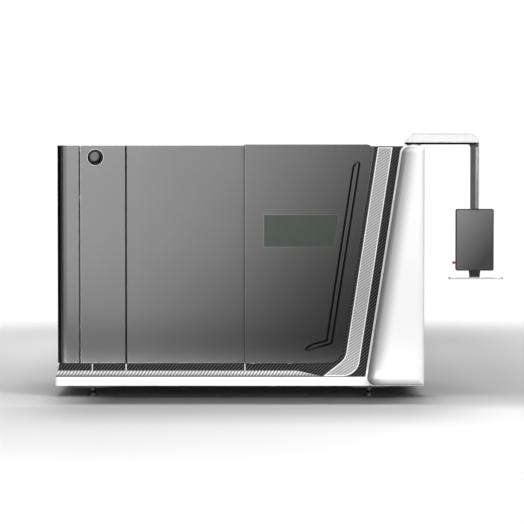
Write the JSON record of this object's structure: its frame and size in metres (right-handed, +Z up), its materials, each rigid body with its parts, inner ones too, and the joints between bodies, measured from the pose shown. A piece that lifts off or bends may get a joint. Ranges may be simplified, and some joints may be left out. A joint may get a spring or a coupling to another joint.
{
  "type": "fiber laser cutting machine",
  "caption": "Enclosed flatbed laser cutter with a sliding door, slat table, gantry and head, leaning side column and a swinging operator console on an arm.",
  "frame": {"origin": "on the floor, at the centre of the four anchor holes in the levelling feet", "axes": "+X along the machine towards the console, +Y from the front to the rear, +Z up"},
  "size_m": [3.843, 2.206, 2.265],
  "materials": {
    "anthracite_paint": "satin powder coat",
    "white_paint": "smooth gloss paint",
    "swoosh_silver": "printed diagonal twill on satin silver",
    "twill_black": "printed diagonal twill on satin black",
    "frame_paint": "textured powder coat",
    "steel": "machined steel",
    "slat_steel": "heat-stained mild steel",
    "zinc": "zinc plated",
    "galvanised": "galvanised sheet",
    "black_rubber": "matt rubber",
    "laser_glass": "dark green laser-safe pane",
    "black_gloss": "polished black",
    "bright_ring": "satin aluminium",
    "dark_plastic": "fine moulded grain",
    "white_plastic": "smooth moulded",
    "screen_glass": "dark glossy cover sheet",
    "red_plastic": "red moulded",
    "motor_black": "black enamel",
    "cabinet_grey": "light grey powder coat",
    "copper": "turned copper alloy"
  },
  "bodies": {
    "machine": {"foot_pads": "zinc", "foot_studs": "zinc", "base_frame": "frame_paint", "skirts": "white_paint", "plinth_band": "twill_black", "plinth_ledge": "swoosh_silver", "enclosure_frame": "frame_paint", "chamber_walls": "cabinet_grey", "corner_panel": "anthracite_paint", "mid_panel": "anthracite_paint", "end_panels": "anthracite_paint", "rear_panels": "anthracite_paint", "roof_panels": "anthracite_paint", "door_jamb": "anthracite_paint", "surround_panel": "twill_black", "swoosh_strip": "swoosh_silver", "column_trim": "white_paint", "column_cover": "white_paint", "column_return": "white_paint", "door_tracks": "steel", "service_hinges": "steel", "cabinet_floor": "galvanised", "laser_source": "cabinet_grey", "drive_cabinet": "cabinet_grey", "exhaust_duct": "galvanised", "machine_bed": "frame_paint", "x_tracks": "steel", "table_frame": "frame_paint", "table_slats": "slat_steel", "x_racks": "steel", "arm_bearing": "bright_ring"},
    "door": {"door_skin": "anthracite_paint", "door_liner": "frame_paint", "door_window": "laser_glass", "grip_tub": "dark_plastic", "grip_bar": "dark_plastic", "door_seal": "black_rubber", "door_runners": "steel"},
    "service_door": {"service_door": "anthracite_paint", "badge_ring": "bright_ring", "badge_dome": "black_gloss"},
    "gantry": {"gantry_beam": "white_paint", "x_motors": "motor_black", "y_tracks": "steel", "y_rack": "steel"},
    "front_pinion": {"x_pinion_front": "steel"},
    "rear_pinion": {"x_pinion_rear": "steel"},
    "carriage": {"carriage": "steel", "y_motor": "motor_black"},
    "cross_pinion": {"y_pinion": "steel"},
    "head": {"cutting_head": "white_plastic", "nozzle": "copper"},
    "drawer": {"slag_drawer": "frame_paint"},
    "arm": {"arm_core": "dark_plastic", "arm_shell": "white_plastic"},
    "console": {"console_housing": "dark_plastic", "console_screen": "screen_glass", "tray_bracket": "dark_plastic"},
    "tray": {"keyboard_tray": "white_plastic"},
    "stop": {"stop_button": "red_plastic"}
  },
  "joints": [
    {"name": "door_slide", "type": "slide", "parent": "machine", "child": "door", "axis": [-1, 0, 0], "range_m": [0, 0.98]},
    {"name": "service_door_swing", "type": "hinge", "parent": "machine", "child": "service_door", "pos_m": [-1.3, -0.933, 1.2], "axis": [0, 0, -1], "range_deg": [0, 100]},
    {"name": "gantry_travel", "type": "slide", "parent": "machine", "child": "gantry", "axis": [1, 0, 0], "range_m": [-1, 0.5]},
    {"name": "carriage_travel", "type": "slide", "parent": "gantry", "child": "carriage", "axis": [0, 1, 0], "range_m": [-0.6, 0.3]},
    {"name": "head_lift", "type": "slide", "parent": "carriage", "child": "head", "axis": [0, 0, 1], "range_m": [-0.05, 0.05]},
    {"name": "rear_pinion_spin", "type": "hinge", "parent": "gantry", "child": "rear_pinion", "pos_m": [0.33, 0.729, 0.87], "axis": [0, 0, 1], "continuous": true},
    {"name": "front_pinion_spin", "type": "hinge", "parent": "gantry", "child": "front_pinion", "pos_m": [0.33, -0.729, 0.87], "axis": [0, 0, 1], "continuous": true},
    {"name": "cross_pinion_spin", "type": "hinge", "parent": "carriage", "child": "cross_pinion", "pos_m": [0.43, 0.25, 1.167], "axis": [1, 0, 0], "continuous": true},
    {"name": "drawer_slide", "type": "slide", "parent": "machine", "child": "drawer", "axis": [0, 1, 0], "range_m": [0, 0.9]},
    {"name": "arm_swivel", "type": "hinge", "parent": "machine", "child": "arm", "pos_m": [1.573, -0.86, 2.15], "axis": [0, 0, 1], "range_deg": [-50, 45]},
    {"name": "console_swivel", "type": "hinge", "parent": "arm", "child": "console", "pos_m": [2.101, -0.86, 1.61], "axis": [0, 0, 1], "range_deg": [-30, 45]},
    {"name": "tray_fold", "type": "hinge", "parent": "console", "child": "tray", "pos_m": [2.101, -0.901, 1.024], "axis": [-1, 0, 0], "range_deg": [0, 85]},
    {"name": "stop_press", "type": "slide", "parent": "console", "child": "stop", "axis": [1, 0, 0], "range_m": [0, 0.006]}
  ],
  "couplings": [
    {"joint": "rear_pinion_spin", "follows": "gantry_travel", "rad_per_m": -33.333},
    {"joint": "front_pinion_spin", "follows": "gantry_travel", "rad_per_m": 33.333},
    {"joint": "cross_pinion_spin", "follows": "carriage_travel", "rad_per_m": -33.333}
  ]
}
